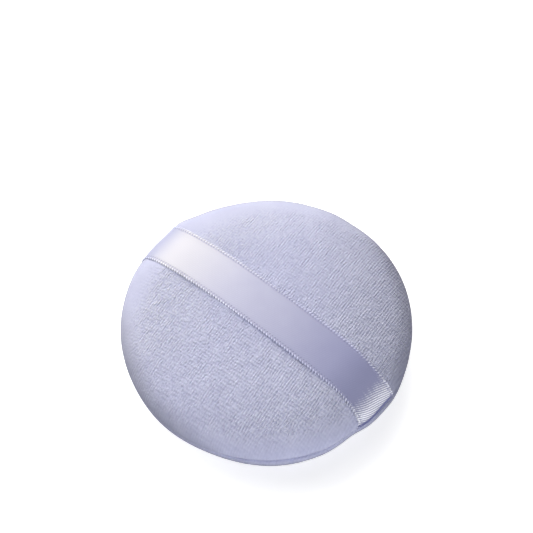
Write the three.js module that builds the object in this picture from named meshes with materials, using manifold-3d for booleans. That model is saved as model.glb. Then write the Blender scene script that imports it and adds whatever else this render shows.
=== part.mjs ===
// Round velour powder puff with a satin finger ribbon. Millimetres, +Z up.
// The axis of the puff is Z, the ribbon runs along X, and the puff rests on z = 0.
//
// Two crowned velour covers are lockstitched right sides together round the rim, with the
// ribbon's ends between them, and turned right side out. Their seam allowances then point inward,
// with the ribbon's tails between them, and a foam disc, grooved round its edge, fills the pocket.
// A running stitch closes the gap that was left for turning.

import * as THREE from 'three';
import { mergeVertices } from 'three/addons/utils/BufferGeometryUtils.js';
import Module from 'manifold-3d';

// Puff
const puffDiameter = 60;
const crownHeight = 7.8; // of each crown, from the seam plane
const crownPowerShare = 2.45; // squareness of the shoulder: 2 is an ellipse, more is squarer
const restDepth = 0.5; // by which the lower crown is pressed flat where the puff stands

// Velour covers
const velourThickness = 0.7; // knitted backing with its pile
const lipRadius = 0.9; // with which each cover rolls into the seam
const allowanceWidth = 4;
const seamGap = 0.3; // between the two covers, pile to pile

// Stitching through both allowances and the ribbon's tails
const threadDiameter = 0.2;
const threadClearance = 0.1; // to the cloth and to the other thread
const stitchPitch = 3.5;
const stitchInset = 0.8; // inward from the lips
const turningGap = 25; // sewn up last, on the +Y side
const threadEndShare = 0.3; // of a stitch, past the first and the last hole

// Foam disc
const foamDiameter = 56;
const foamClearance = 0.3; // to the covers, to their allowances and to the stitching

// Ribbon
const ribbonWidth = 10;
const ribbonThickness = 0.3;
const ribbonClearance = 0.3; // to the covers, over the crown and in the seam
const tailLength = 3.6; // of each end, inward from the lips of the seam
const strapDrift = 1.1; // by which its end at +X is sewn in towards -Y
const driftShare = 0.62; // of the climb from the rim to the top, over which the drift fades out

// Counts
const roundSegments = 40;
const outerSteps = 8;
const innerSteps = 5;
const lipSteps = 2;
const foldSteps = 4;
const threadSides = 5;
const ribbonSteps = 16;
const ribbonStrips = 4;

const puffRadius = puffDiameter / 2;
const lipCentre = new THREE.Vector2(puffRadius - lipRadius, seamGap / 2 + lipRadius);
const allowanceTop = seamGap / 2 + velourThickness; // above the seam plane
const allowanceInnerRadius = lipCentre.x - allowanceWidth;
const seatHalfHeight = ribbonThickness / 2 + ribbonClearance; // of the ribbon's seat in the seam
const seamHeight = crownHeight - restDepth; // from the seam plane down to the table
const stitchRadius = lipCentre.x - stitchInset;
const stitchCount = 2 * Math.round((Math.PI * stitchRadius) / stitchPitch); // even: one at each end
const stitchAngle = (2 * Math.PI) / stitchCount;
const gapStitches = Math.round(turningGap / (stitchAngle * stitchRadius));
const threadTop = allowanceTop + threadClearance + threadDiameter / 2;
// In a hole the two threads' strands stand at the corners of a square of this half side.
const strandOffset = (threadDiameter + threadClearance) / Math.SQRT2;
const needleHole = 2 * (strandOffset + threadDiameter / 2 + threadClearance);

const wasm = await Module();
wasm.setup();

// Profiles are lists of (radius, height above the seam plane).

// The crown's outer face moved outward by `offset`; `climb` runs from 0 at the rim to 1 on top.
function crownPoint(climb, offset) {
  const angle = (climb * Math.PI) / 2;
  const rise = crownHeight - lipCentre.y;
  const radiusShare = Math.cos(angle) ** (2 / crownPowerShare);
  const normal = new THREE.Vector2(
    crownPowerShare * radiusShare ** (crownPowerShare - 1) * rise,
    2 * Math.sin(angle) * puffRadius,
  ).normalize();
  return new THREE.Vector2(puffRadius * radiusShare, lipCentre.y + rise * Math.sin(angle))
    .addScaledVector(normal, offset);
}

// The climb at which a measure that falls with the climb reaches nought.
function climbWhere(measure) {
  let low = 0;
  let high = 1;
  while (high - low > Number.EPSILON) {
    const middle = (low + high) / 2;
    if (measure(middle) > 0) low = middle;
    else high = middle;
  }
  return low;
}

// A crown's face from the climb `start` to the axis, level where it would pass `top`.
function crownRow(offset, top, steps, start = 0) {
  const end = climbWhere((climb) => top - crownPoint(climb, offset).y);
  const slopes = top < crownHeight + offset ? steps - 1 : steps;
  const row = [];
  for (let step = 0; step < steps; step += 1) {
    const point = crownPoint(start + ((end - start) * step) / slopes, offset);
    row.push(step < slopes ? point : point.setY(top));
  }
  row.push(new THREE.Vector2(0, top));
  return row;
}

// An arc from one angle to another, both ends included.
function arc(centre, radius, from, to, steps) {
  return Array.from({ length: steps + 1 }, (_, step) => {
    const angle = from + ((to - from) * step) / steps;
    return new THREE.Vector2(Math.cos(angle), Math.sin(angle)).multiplyScalar(radius).add(centre);
  });
}

function mirrored(profile) {
  return profile.map((point) => new THREE.Vector2(point.x, -point.y)).reverse();
}

// Keeps positions only, joins shared vertices and drops triangles that closed up at the axis.
function closed(geometry) {
  geometry.deleteAttribute('normal');
  geometry.deleteAttribute('uv');
  const merged = mergeVertices(geometry);
  const corners = [];
  for (let i = 0; i < merged.index.count; i += 3) {
    const triangle = [0, 1, 2].map((corner) => merged.index.getX(i + corner));
    if (new Set(triangle).size === 3) corners.push(...triangle);
  }
  merged.setIndex(corners);
  return merged;
}

// Turns a profile round Z. It runs from top to bottom with the material on the axis' side.
function revolved(profile) {
  const lathe = new THREE.LatheGeometry(profile.slice().reverse(), roundSegments);
  return closed(lathe.rotateX(Math.PI / 2));
}

function toManifold(geometry) {
  return new wasm.Manifold(new wasm.Mesh({
    numProp: 3,
    vertProperties: new Float32Array(geometry.attributes.position.array),
    triVerts: new Uint32Array(geometry.index.array),
  }));
}

function toGeometry(solid) {
  const mesh = solid.getMesh();
  const geometry = new THREE.BufferGeometry();
  geometry.setAttribute('position', new THREE.BufferAttribute(mesh.vertProperties, 3));
  geometry.setIndex(new THREE.BufferAttribute(mesh.triVerts, 1));
  return geometry;
}

// Where the middle of the ribbon's width lies along Y, at a climb on one side.
function strapMiddle(climb, side) {
  return side > 0 ? strapDrift * (THREE.MathUtils.smoothstep(climb, 0, driftShare) - 1) : 0;
}

// Where the covers' edges meet, the ribbon's tails press a flat-bottomed seat into the pile.
function seatForTail(side) {
  const innerEnd = lipCentre.x - tailLength - ribbonClearance;
  const outerEnd = puffRadius + ribbonClearance;
  const seat = new THREE.BoxGeometry(
    outerEnd - innerEnd,
    ribbonWidth + 2 * ribbonClearance,
    2 * seatHalfHeight,
  );
  seat.translate((side * (innerEnd + outerEnd)) / 2, strapMiddle(0, side), 0);
  return toManifold(closed(seat));
}

// Pierces a solid with the needle's holes, which pass through both allowances.
function pierced(solid) {
  let left = solid;
  for (let stitch = 0; stitch < stitchCount; stitch += 1) {
    const hole = new THREE.BoxGeometry(needleHole, needleHole, 2 * threadTop);
    hole.translate(stitchRadius, 0, 0).rotateZ(stitch * stitchAngle);
    left = left.subtract(toManifold(closed(hole)));
  }
  return toGeometry(left);
}

function cover(profile) {
  let solid = toManifold(revolved(profile));
  for (const side of [-1, 1]) solid = solid.subtract(seatForTail(side));
  return pierced(solid);
}

// One cover's section above the seam plane: outer face, lip, allowance and inner face.
function coverProfile(top) {
  const quarter = Math.PI / 2;
  return [
    ...crownRow(0, top, outerSteps).reverse(),
    ...arc(lipCentre, lipRadius, 0, -quarter, lipSteps).slice(1),
    new THREE.Vector2(allowanceInnerRadius, seamGap / 2),
    new THREE.Vector2(allowanceInnerRadius, allowanceTop),
    ...arc(lipCentre, lipRadius - velourThickness, -quarter, 0, 1).slice(0, -1),
    ...crownRow(-velourThickness, top - velourThickness, innerSteps),
  ];
}

// Half of the foam's section: its face under the cover, its wall and its groove.
function foamProfile(top) {
  const offset = -velourThickness - foamClearance;
  const edge = climbWhere((climb) => crownPoint(climb, offset).x - foamDiameter / 2);
  const grooveRadius = allowanceInnerRadius - foamClearance;
  const grooveTop = threadTop + threadDiameter / 2 + foamClearance;
  return [
    ...crownRow(offset, top + offset, innerSteps, edge).reverse(),
    new THREE.Vector2(foamDiameter / 2, grooveTop),
    new THREE.Vector2(grooveRadius, grooveTop),
  ];
}

// The middle of the ribbon's thickness, `beside` its middle line, from the end of one tail, out
// through the seam, round the upper lip and up to the middle of the crown.
function halfStrap(side, beside) {
  const lipAngle = -Math.asin((lipCentre.y - seatHalfHeight) / lipRadius);
  const seatCorner = arc(lipCentre, lipRadius, lipAngle, 0, lipSteps)[0];
  const middle = climbWhere((climb) => crownPoint(climb, seatHalfHeight).x - Math.abs(beside));
  const place = (point, climb) => {
    const y = beside + strapMiddle(climb, side);
    return new THREE.Vector3(side * Math.sqrt(point.x ** 2 - y ** 2), y, point.y);
  };
  const section = [
    ...arc(seatCorner, seatHalfHeight, -Math.PI / 2, lipAngle, foldSteps),
    ...arc(lipCentre, lipRadius + seatHalfHeight, lipAngle, 0, lipSteps).slice(1),
  ];
  const path = section.map((point) => place(point, 0));
  for (let step = 1; step < ribbonSteps; step += 1) {
    const climb = (middle * step) / ribbonSteps;
    path.push(place(crownPoint(climb, seatHalfHeight), climb));
  }
  const tailEnd = new THREE.Vector3(side * (lipCentre.x - tailLength), path[0].y, 0);
  const top = new THREE.Vector3(0, beside, crownPoint(middle, seatHalfHeight).y);
  return [tailEnd, ...path, top];
}

// The ribbon: its path at each place across the width, given its thickness and joined up.
function ribbonGeometry() {
  const positions = [];
  const corners = [];
  const rings = [];
  for (let strip = 0; strip <= ribbonStrips; strip += 1) {
    const beside = ribbonWidth * (strip / ribbonStrips - 1 / 2);
    const path = [...halfStrap(-1, beside), ...halfStrap(1, beside).slice(0, -1).reverse()];
    const lower = [];
    const upper = [];
    path.forEach((point, i) => {
      const before = path[Math.max(i - 1, 0)];
      const after = path[Math.min(i + 1, path.length - 1)];
      const along = after.clone().sub(before).setY(0).normalize();
      const up = new THREE.Vector3(-along.z, 0, along.x).multiplyScalar(ribbonThickness / 2);
      for (const [face, place] of [[lower, point.clone().sub(up)], [upper, point.clone().add(up)]]) {
        face.push(positions.length / 3);
        positions.push(...place);
      }
    });
    rings.push([...lower, ...upper.reverse()]);
  }
  const quad = (a, b, c, d) => corners.push(a, b, c, a, c, d);
  rings.slice(1).forEach((ring, strip) => {
    const last = rings[strip];
    ring.forEach((corner, i) => {
      const next = (i + 1) % ring.length;
      quad(last[i], corner, ring[next], last[next]);
    });
  });
  for (let i = 0; i < rings[0].length / 2 - 1; i += 1) {
    const first = rings[0];
    const last = rings[rings.length - 1];
    const far = first.length - 1 - i;
    quad(first[i], first[i + 1], first[far - 1], first[far]);
    quad(last[far], last[far - 1], last[i + 1], last[i]);
  }
  const geometry = new THREE.BufferGeometry();
  geometry.setAttribute('position', new THREE.Float32BufferAttribute(positions, 3));
  geometry.setIndex(corners);
  return pierced(toManifold(geometry));
}

// A thread's route through its points, with a ring of the tube at each of them.
class ThreadRoute extends THREE.CatmullRomCurve3 {
  getPointAt(share, target) {
    return this.getPoint(share, target);
  }

  getTangentAt(share, target) {
    return this.getTangent(share, target);
  }
}

// A thread through `stops`, each a (place along the seam in stitches, step outward, height), with
// every bend between the first and the last stop cut off short, as a soft thread turns.
function thread(stops) {
  const places = stops.map(([along, outward, height]) => {
    const place = new THREE.Vector3(stitchRadius + outward, 0, height);
    return place.applyAxisAngle(new THREE.Vector3(0, 0, 1), along * stitchAngle);
  });
  const points = places.flatMap((place, i) => {
    if (i === 0 || i === places.length - 1) return [place];
    return [places[i - 1], places[i + 1]].map((next) => {
      const toNext = next.clone().sub(place).setLength(threadDiameter / 2);
      return place.clone().add(toNext);
    });
  });
  const section = new THREE.Shape(
    Array.from({ length: threadSides }, (_, side) => {
      const angle = (2 * Math.PI * side) / threadSides;
      return new THREE.Vector2(Math.cos(angle), Math.sin(angle)).multiplyScalar(threadDiameter / 2);
    }),
  );
  const geometry = new THREE.ExtrudeGeometry(section, {
    steps: points.length - 1,
    extrudePath: new ThreadRoute(points, false, 'centripetal'),
  });
  return closed(geometry);
}

// The stitches that the lockstitch takes, counted from +X, from one end of the turning gap to the
// other; the closing thread takes those between.
const firstStitch = Math.round(stitchCount / 4 + gapStitches / 2);
const lockStitches = stitchCount - gapStitches;
const alongHole = strandOffset / (stitchAngle * stitchRadius);

// One thread of the lockstitch. `face` is +1 for the needle's thread, above, and -1 for the
// bobbin's, below. In each hole it passes under or over the other one and comes back.
function lockThread(face) {
  const bight = (-face * (threadDiameter + threadClearance)) / 2;
  const stops = [[firstStitch - threadEndShare, 0, face * threadTop]];
  for (let stitch = firstStitch; stitch < firstStitch + lockStitches; stitch += 1) {
    const here = [stitch - alongHole, face * strandOffset];
    const back = [stitch + alongHole, -face * strandOffset];
    stops.push([...here, face * threadTop], [...here, bight]);
    stops.push([...back, bight], [...back, face * threadTop]);
  }
  const last = firstStitch + lockStitches - 1;
  stops.push([last + threadEndShare, 0, face * threadTop]);
  return thread(stops);
}

// The running stitch across the turning gap, above and below the allowances in turn.
function closingThread() {
  const first = firstStitch + lockStitches - stitchCount;
  let face = 1;
  const stops = [[first - threadEndShare, 0, threadTop]];
  for (let stitch = first; stitch < firstStitch; stitch += 1) {
    stops.push([stitch, 0, face * threadTop], [stitch, 0, -face * threadTop]);
    face = -face;
  }
  stops.push([firstStitch - 1 + threadEndShare, 0, face * threadTop]);
  return thread(stops);
}

function piece(name, geometry, color, roughness) {
  const material = new THREE.MeshStandardMaterial({ color, roughness, metalness: 0 });
  const mesh = new THREE.Mesh(geometry, material);
  mesh.name = name;
  return mesh;
}

const puff = new THREE.Group();
puff.add(
  piece('top_cover', cover(coverProfile(crownHeight)), 0xb9bbd8, 0.95),
  piece('bottom_cover', cover(mirrored(coverProfile(seamHeight))), 0xb9bbd8, 0.95),
  piece(
    'foam_core',
    revolved([...foamProfile(crownHeight), ...mirrored(foamProfile(seamHeight))]),
    0xf1efe6,
    0.9,
  ),
  piece('ribbon_strap', ribbonGeometry(), 0xc9cbe8, 0.35),
  piece('needle_thread', lockThread(1), 0xb4b6dc, 0.6),
  piece('bobbin_thread', lockThread(-1), 0xb4b6dc, 0.6),
  piece('closing_thread', closingThread(), 0xb4b6dc, 0.6),
);
puff.position.z = seamHeight;

export default puff;
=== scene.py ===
"""Dresses the round powder puff with the satin finger ribbon, and sets the studio round it.

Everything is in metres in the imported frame: the puff's axis is Z, the ribbon runs along X, and
the puff stands on z = 0. Angles round the puff run from +X towards +Y. A climb is a place on a
crown's profile, from 0 at the rim to 1 on top.
"""

import logging
import math
from dataclasses import dataclass, field
from enum import Enum
from functools import cache

import bpy
import numpy as np
from mathutils import Matrix, Vector


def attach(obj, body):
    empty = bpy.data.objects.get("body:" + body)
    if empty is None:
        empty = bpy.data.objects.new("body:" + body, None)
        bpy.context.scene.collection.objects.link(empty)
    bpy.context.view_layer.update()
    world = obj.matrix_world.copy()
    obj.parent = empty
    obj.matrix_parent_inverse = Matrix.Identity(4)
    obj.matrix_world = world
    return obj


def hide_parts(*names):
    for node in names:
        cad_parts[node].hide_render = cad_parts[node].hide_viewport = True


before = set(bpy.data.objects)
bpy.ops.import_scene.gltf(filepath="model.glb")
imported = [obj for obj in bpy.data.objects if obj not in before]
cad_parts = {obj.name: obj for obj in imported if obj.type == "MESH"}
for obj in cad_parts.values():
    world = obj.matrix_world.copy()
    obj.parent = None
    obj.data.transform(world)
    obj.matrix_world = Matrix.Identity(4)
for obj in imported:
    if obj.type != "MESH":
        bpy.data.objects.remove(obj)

Array = np.ndarray
Material = bpy.types.Material
Node = bpy.types.Node
Piece = bpy.types.Object
Stops = list[tuple[float, float, float]]
Tree = bpy.types.NodeTree

LOG = logging.getLogger("powder_puff")
MM = 0.001
TINY = 0.01 * MM
TURN = 2 * math.pi
BODY = "root"
BLACK = (0.0, 0.0, 0.0, 1.0)
WHITE = (1.0, 1.0, 1.0, 1.0)


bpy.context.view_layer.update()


class Side(Enum):
    """The two faces of the puff."""

    TOP = 1
    BOTTOM = -1


class End(Enum):
    """The two ends of the ribbon: pulled tight at -X, and nearest the camera at +X."""

    TIGHT = -1
    NEAR = 1


class Edge(Enum):
    """The two long edges of the ribbon, at -Y and at +Y."""

    NEAR = -1
    FAR = 1


@dataclass(frozen=True)
class Ease:
    """A smooth change from start, up to low, to end, from high on."""

    low: float
    high: float
    start: float = 0.0
    end: float = 1.0

    def at(self, value: Array) -> Array:
        """The eased value at each value."""
        share = np.clip((np.asarray(value, float) - self.low) / (self.high - self.low), 0, 1)
        return self.start + (self.end - self.start) * share * share * (3 - 2 * share)


@dataclass(frozen=True)
class Hump:
    """A rounded rise that fades away over its reach on both sides of a place."""

    height: float
    reach: float
    place: float = 0.0

    def at(self, value: Array) -> Array:
        """The rise at each value."""
        return self.height * np.exp(-(((value - self.place) / self.reach) ** 2))


@dataclass(frozen=True)
class Unevenness:
    """Smooth seeded noise over space, made of plane waves of about one length."""

    seed: int
    length: float
    waves: int = 28
    spread: tuple[float, float] = (0.7, 1.5)

    def at(self, places: Array) -> Array:
        """The noise at places, with a spread of about 1.

        Args:
            places: Places in metres, of shape (..., 3).

        Returns:
            One value for each place.
        """
        source = np.random.default_rng(self.seed)
        heading = source.normal(size=(self.waves, 3))
        heading /= np.linalg.norm(heading, axis=1)[:, None]
        lengths = self.length * source.uniform(*self.spread, self.waves)
        phases = source.uniform(0, TURN, self.waves)
        total = np.zeros(places.shape[:-1])
        for way, length, phase in zip(heading, lengths, phases):
            total += np.cos(places @ (way * TURN / length) + phase)
        return total * math.sqrt(2 / self.waves)


def lengths_along(line: Array) -> Array:
    """The length of a line of points, or of each column of a grid, up to each point."""
    steps = np.linalg.norm(np.diff(line, axis=0), axis=-1)
    return np.concatenate([0 * steps[:1], np.cumsum(steps, axis=0)])


def points_at(spots: Array, lengths: Array, line: Array) -> Array:
    """The points of a line at some lengths along it."""
    return np.stack([np.interp(spots, lengths, line[:, i]) for i in range(3)], -1)


def rings(values: Array, segments: int) -> tuple[Array, Array]:
    """Grids of one value for each ring and of the angle of each point on it."""
    return tuple(np.meshgrid(values, np.arange(segments) * TURN / segments, indexing="ij"))


def direction(azimuth: float, elevation: float) -> Vector:
    """The way from the puff towards a lamp or camera.

    Args:
        azimuth: Angle round the puff, in degrees from +X.
        elevation: Angle above the table, in degrees.

    Returns:
        A unit vector.
    """
    turn, lift = math.radians(azimuth), math.radians(elevation)
    level = math.cos(lift)
    return Vector((math.cos(turn) * level, math.sin(turn) * level, math.sin(lift)))


def settle(places: Array, floor: float, soft: float = 0.04 * MM, far: float = 30) -> None:
    """Presses places flat on a floor, in their own array, with a soft corner.

    Args:
        places: Places of shape (..., 3).
        floor: Height of the floor.
        soft: Height over which the corner is rounded.
        far: Distance from the corner, in softs, past which nothing is rounded.
    """
    above = (places[..., 2] - floor) / soft
    eased = np.where(above > far, above, np.log1p(np.exp(np.minimum(above, far))))
    places[..., 2] = floor + soft * eased * (above > -far)


class MeshMaker:
    """Collects grids of points and turns them into one mesh object."""

    def __init__(self) -> None:
        """Starts with no points and no faces."""
        self.points: list[Array] = []
        self.faces: list[tuple[int, ...]] = []
        self.count = 0

    def add(self, places: Array) -> int:
        """Adds points.

        Args:
            places: Points of shape (..., 3).

        Returns:
            The number of the first one.
        """
        first = self.count
        self.points.append(np.asarray(places, float).reshape(-1, 3))
        self.count += len(self.points[-1])
        return first

    def grid(self, places: Array, closed: bool = True) -> int:
        """Adds a grid of points and the quads between them.

        Args:
            places: Points of shape (rows, columns, 3).
            closed: Whether the last column joins the first.

        Returns:
            The number of the grid's first point.
        """
        rows, columns = places.shape[:2]
        first = self.add(places)
        for here in range(first, first + (rows - 1) * columns, columns):
            for column in range(columns if closed else columns - 1):
                near, far = here + column, here + (column + 1) % columns
                self.faces.append((near, far, far + columns, near + columns))
        return first

    def shell(self, places: Array, start: Array, end: Array) -> None:
        """Adds a closed shell: rings of points, with a fan over the first and the last.

        Args:
            places: Points of shape (rings, columns, 3).
            start: The point in the middle of the first ring.
            end: The point in the middle of the last ring.
        """
        columns = places.shape[1]
        first = self.grid(places)
        last = first + (len(places) - 1) * columns
        for pole, ring, order in ((start, first, -1), (end, last, 1)):
            middle = self.add(pole)
            for column in range(columns):
                edge = (ring + column, ring + (column + 1) % columns)
                self.faces.append((middle, *edge[::order]))

    def build(self, name: str, material: Material) -> Piece:
        """Makes the object, smooth shaded, and links it to the scene.

        Args:
            name: Name of the piece.
            material: Its material.

        Returns:
            The new object.
        """
        mesh = bpy.data.meshes.new(name)
        mesh.from_pydata(np.concatenate(self.points).tolist(), [], self.faces)
        mesh.polygons.foreach_set("use_smooth", [True] * len(mesh.polygons))
        mesh.materials.append(material)
        mesh.update()
        piece = bpy.data.objects.new(name, mesh)
        bpy.context.scene.collection.objects.link(piece)
        LOG.info("%s: %d points, %d faces", name, self.count, len(self.faces))
        return piece


class Signal:
    """A value on a node sheet, which is added, multiplied and raised like a number."""

    def __init__(self, sheet: "NodeSheet", socket: bpy.types.NodeSocket) -> None:
        """Keeps the sheet and the socket that gives the value."""
        self.sheet, self.socket = sheet, socket

    def __add__(self, other: object) -> "Signal":
        """This value plus another."""
        return self.sheet.math("ADD", self, other)

    def __sub__(self, other: object) -> "Signal":
        """This value less another."""
        return self.sheet.math("SUBTRACT", self, other)

    def __rsub__(self, other: object) -> "Signal":
        """A number less this value."""
        return self.sheet.math("SUBTRACT", other, self)

    def __mul__(self, other: object) -> "Signal":
        """This value times another."""
        return self.sheet.math("MULTIPLY", self, other)

    def __truediv__(self, other: object) -> "Signal":
        """This value over another."""
        return self.sheet.math("DIVIDE", self, other)

    def __pow__(self, other: object) -> "Signal":
        """This value to a power."""
        return self.sheet.math("POWER", self, other)

    def clamped(self) -> "Signal":
        """This result of a Math node, kept from 0 to 1."""
        self.socket.node.use_clamp = True
        return self


class NodeSheet:
    """Adds and links the nodes of one material, world or node group.

    What its nodes are fed with is a signal, or a plain value that their input takes.
    """

    def __init__(self, tree: Tree) -> None:
        """Starts on a tree."""
        self.tree = tree

    def feed(self, node: Node, inputs: dict) -> None:
        """Links or sets inputs of a node.

        Args:
            node: The node.
            inputs: What goes into it, by the input's name or number.
        """
        for name, value in inputs.items():
            if isinstance(value, Signal):
                self.tree.links.new(value.socket, node.inputs[name])
            else:
                node.inputs[name].default_value = value

    def node(self, kind: str, inputs: dict | None = None, **settings: object) -> Node:
        """Adds a node.

        Args:
            kind: Type of the node.
            inputs: What goes into it.
            **settings: Attributes of the node itself.

        Returns:
            The new node.
        """
        made = self.tree.nodes.new(kind)
        for name, value in settings.items():
            setattr(made, name, value)
        self.feed(made, inputs or {})
        return made

    def take(self, kind: str, output: str | int, *inputs: dict, **settings: object) -> Signal:
        """Adds a node as node does, and returns one of its outputs."""
        return Signal(self, self.node(kind, *inputs, **settings).outputs[output])

    def math(self, operation: str, *values: object) -> Signal:
        """Adds a Math node and returns its result."""
        return self.take("ShaderNodeMath", 0, dict(enumerate(values)), operation=operation)

    def vector(self, operation: str, *values: object) -> Signal:
        """Adds a Vector Math node.

        Args:
            operation: Its operation.
            *values: What goes into it, in order.

        Returns:
            Its vector or value.
        """
        output = "Value" if operation in ("LENGTH", "DISTANCE", "DOT_PRODUCT") else "Vector"
        inputs = dict(enumerate(values))
        return self.take("ShaderNodeVectorMath", output, inputs, operation=operation)

    def split(self, vector: Signal) -> list[Signal]:
        """The three parts of a vector."""
        parts = self.node("ShaderNodeSeparateXYZ", {"Vector": vector}).outputs
        return [Signal(self, part) for part in parts]

    def join(self, x: Signal, y: Signal) -> Signal:
        """A level vector of two parts."""
        return self.take("ShaderNodeCombineXYZ", 0, {"X": x, "Y": y})

    def ease(self, value: Signal, way: Ease) -> Signal:
        """Adds a Map Range node that eases a value.

        Args:
            value: The value.
            way: How it is eased.

        Returns:
            The eased value.
        """
        inputs = {"Value": value, "From Min": way.low, "From Max": way.high}
        inputs |= {"To Min": way.start, "To Max": way.end}
        return self.take("ShaderNodeMapRange", "Result", inputs, interpolation_type="SMOOTHSTEP")

    def blend(self, share: Signal, low: object, high: object) -> Signal:
        """Mixes two colours, from low at share 0 to high at share 1."""
        return self.take("ShaderNodeMix", 2, {"Factor": share, 6: low, 7: high}, data_type="RGBA")

    def noise(
        self,
        place: Signal,
        scale: object,
        detail: float = 2,
        rough: float = 0.5,
        output: str = "Fac",
    ) -> Signal:
        """Adds a Noise Texture and returns its value, or its Color."""
        inputs = {"Vector": place, "Scale": scale, "Detail": detail, "Roughness": rough}
        return self.take("ShaderNodeTexNoise", output, inputs)

    def bump(self, height: Signal, distance: float, strength: float = 1.0) -> Signal:
        """Adds a Bump node and returns its normal."""
        inputs = {"Height": height, "Distance": distance, "Strength": strength}
        return self.take("ShaderNodeBump", "Normal", inputs)

    def seen(self) -> Signal:
        """Tells what the camera, gloss or glass sees from what only lights.

        Returns:
            1 for what is seen, and 0 otherwise.
        """
        rays = self.node("ShaderNodeLightPath").outputs
        kinds = ("Is Camera Ray", "Is Glossy Ray", "Is Transmission Ray")
        camera, gloss, glass = (Signal(self, rays[kind]) for kind in kinds)
        return self.math("MAXIMUM", self.math("MAXIMUM", camera, gloss), glass)


class EffectSheet(NodeSheet):
    """The sheet of a node group that works from a place and some numbers."""

    def __init__(self, name: str, numbers: tuple[str, ...], result: str) -> None:
        """Starts the group with its sockets.

        Args:
            name: Name of the group.
            numbers: Names of the numbers that it takes.
            result: Name of the number that it puts out.
        """
        super().__init__(bpy.data.node_groups.new(name, "ShaderNodeTree"))
        number = "NodeSocketFloat"
        sockets = [("Place", "INPUT", "NodeSocketVector"), *((n, "INPUT", number) for n in numbers)]
        for socket, way, kind in (*sockets, (result, "OUTPUT", number)):
            self.tree.interface.new_socket(name=socket, in_out=way, socket_type=kind)
        inputs = self.node("NodeGroupInput").outputs
        self.given = {socket.name: Signal(self, socket) for socket in inputs}

    def close(self, result: Signal) -> Tree:
        """Puts out the result and returns the finished group."""
        self.feed(self.node("NodeGroupOutput"), {0: result})
        return self.tree


class Surface(NodeSheet):
    """The sheet of one material, with its Principled shader and the place on the surface."""

    def __init__(self, name: str) -> None:
        """Starts the material.

        Args:
            name: Name of the material.
        """
        self.material = bpy.data.materials.new(name)
        self.material.use_nodes = True
        super().__init__(self.material.node_tree)
        self.tree.nodes.clear()
        self.shader = self.node("ShaderNodeBsdfPrincipled")
        shaded = Signal(self, self.shader.outputs["BSDF"])
        self.node("ShaderNodeOutputMaterial", {"Surface": shaded})
        self.place = self.take("ShaderNodeTexCoord", "Object")

    def effect(self, tree: Tree, numbers: dict) -> Signal:
        """Places a shared effect, with its numbers by name, and returns its result."""
        inputs = {"Place": self.place, **numbers}
        return self.take("ShaderNodeGroup", 0, inputs, node_tree=tree)

    def dress(self, inputs: dict) -> Material:
        """Feeds the shader and returns the finished material."""
        self.feed(self.shader, inputs)
        return self.material


def colour(red: int, green: int, blue: int) -> tuple[float, float, float, float]:
    """A colour in the linear values that shaders take.

    Args:
        red: Its red, from 0 to 255.
        green: Its green.
        blue: Its blue.

    Returns:
        Linear red, green, blue and 1.
    """
    parts = [part / 255 for part in (red, green, blue)]
    linear = [p / 12.92 if p <= 0.04045 else ((p + 0.055) / 1.055) ** 2.4 for p in parts]
    return (*linear, 1.0)


@dataclass(frozen=True)
class KnitEffect:
    """The relief of a fine velour knit: ribs, rows of loops, streaks and grain.

    Its scales are noise scales per metre, and its depths are shares of the relief.
    """

    across: tuple = (0.9936, 0.1132, 0.0)
    along: tuple = (-0.1132, 0.9936, 0.0)
    drift_scale: float = 620
    patch_scale: float = 330
    patch_detail: float = 1
    rib_patch: Ease = Ease(0.35, 0.65, 0.8, 1.2)
    loop_patch: Ease = Ease(0.35, 0.65, 1.2, 0.8)
    streaks_per_rib: float = 1.7
    streaks_per_loop: float = 0.75
    streak_detail: float = 1.5
    streak_depth: float = 1.1
    grain_scale: float = 2000
    grain_depth: float = 1.25

    @cache
    def tree(self) -> Tree:
        """Draws the node group, once.

        Returns:
            The group, with a height round one half.
        """
        numbers = ("Rib", "Loop", "Wander", "Rib Depth", "Loop Depth")
        sheet = EffectSheet("velour knit", numbers, "Height")
        given = sheet.given
        place = given["Place"]
        drift = sheet.noise(place, self.drift_scale, output="Color")
        drift = sheet.vector("SUBTRACT", drift, (0.5, 0.5, 0.5))
        moved = sheet.vector("MULTIPLY_ADD", drift, given["Wander"], place)
        ribs = sheet.vector("DOT_PRODUCT", moved, self.across) / given["Rib"]
        loops = sheet.vector("DOT_PRODUCT", moved, self.along) / given["Loop"]
        stretched = sheet.join(ribs * self.streaks_per_rib, loops * self.streaks_per_loop)
        streak = sheet.noise(stretched, 1.0, self.streak_detail) - 0.5
        grain = sheet.noise(place, self.grain_scale) - 0.5
        patch = sheet.noise(place, self.patch_scale, self.patch_detail)
        rib_depth = given["Rib Depth"] * sheet.ease(patch, self.rib_patch)
        loop_depth = given["Loop Depth"] * sheet.ease(patch, self.loop_patch)
        height = sheet.math("SINE", ribs * TURN) * rib_depth + 0.5
        height = sheet.math("SINE", loops * TURN) * loop_depth + height
        return sheet.close(streak * self.streak_depth + grain * self.grain_depth + height)


@dataclass(frozen=True)
class CloudEffect:
    """Soft clouds of lighter and darker dye."""

    detail: float = 3

    @cache
    def tree(self) -> Tree:
        """Draws the node group, once.

        Returns:
            The group, with a share that keeps near one half.
        """
        sheet = EffectSheet("dye cloud", ("Scale", "Depth"), "Share")
        cloud = sheet.noise(sheet.given["Place"], sheet.given["Scale"], self.detail) - 0.5
        return sheet.close(cloud * sheet.given["Depth"] + 0.5)


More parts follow.
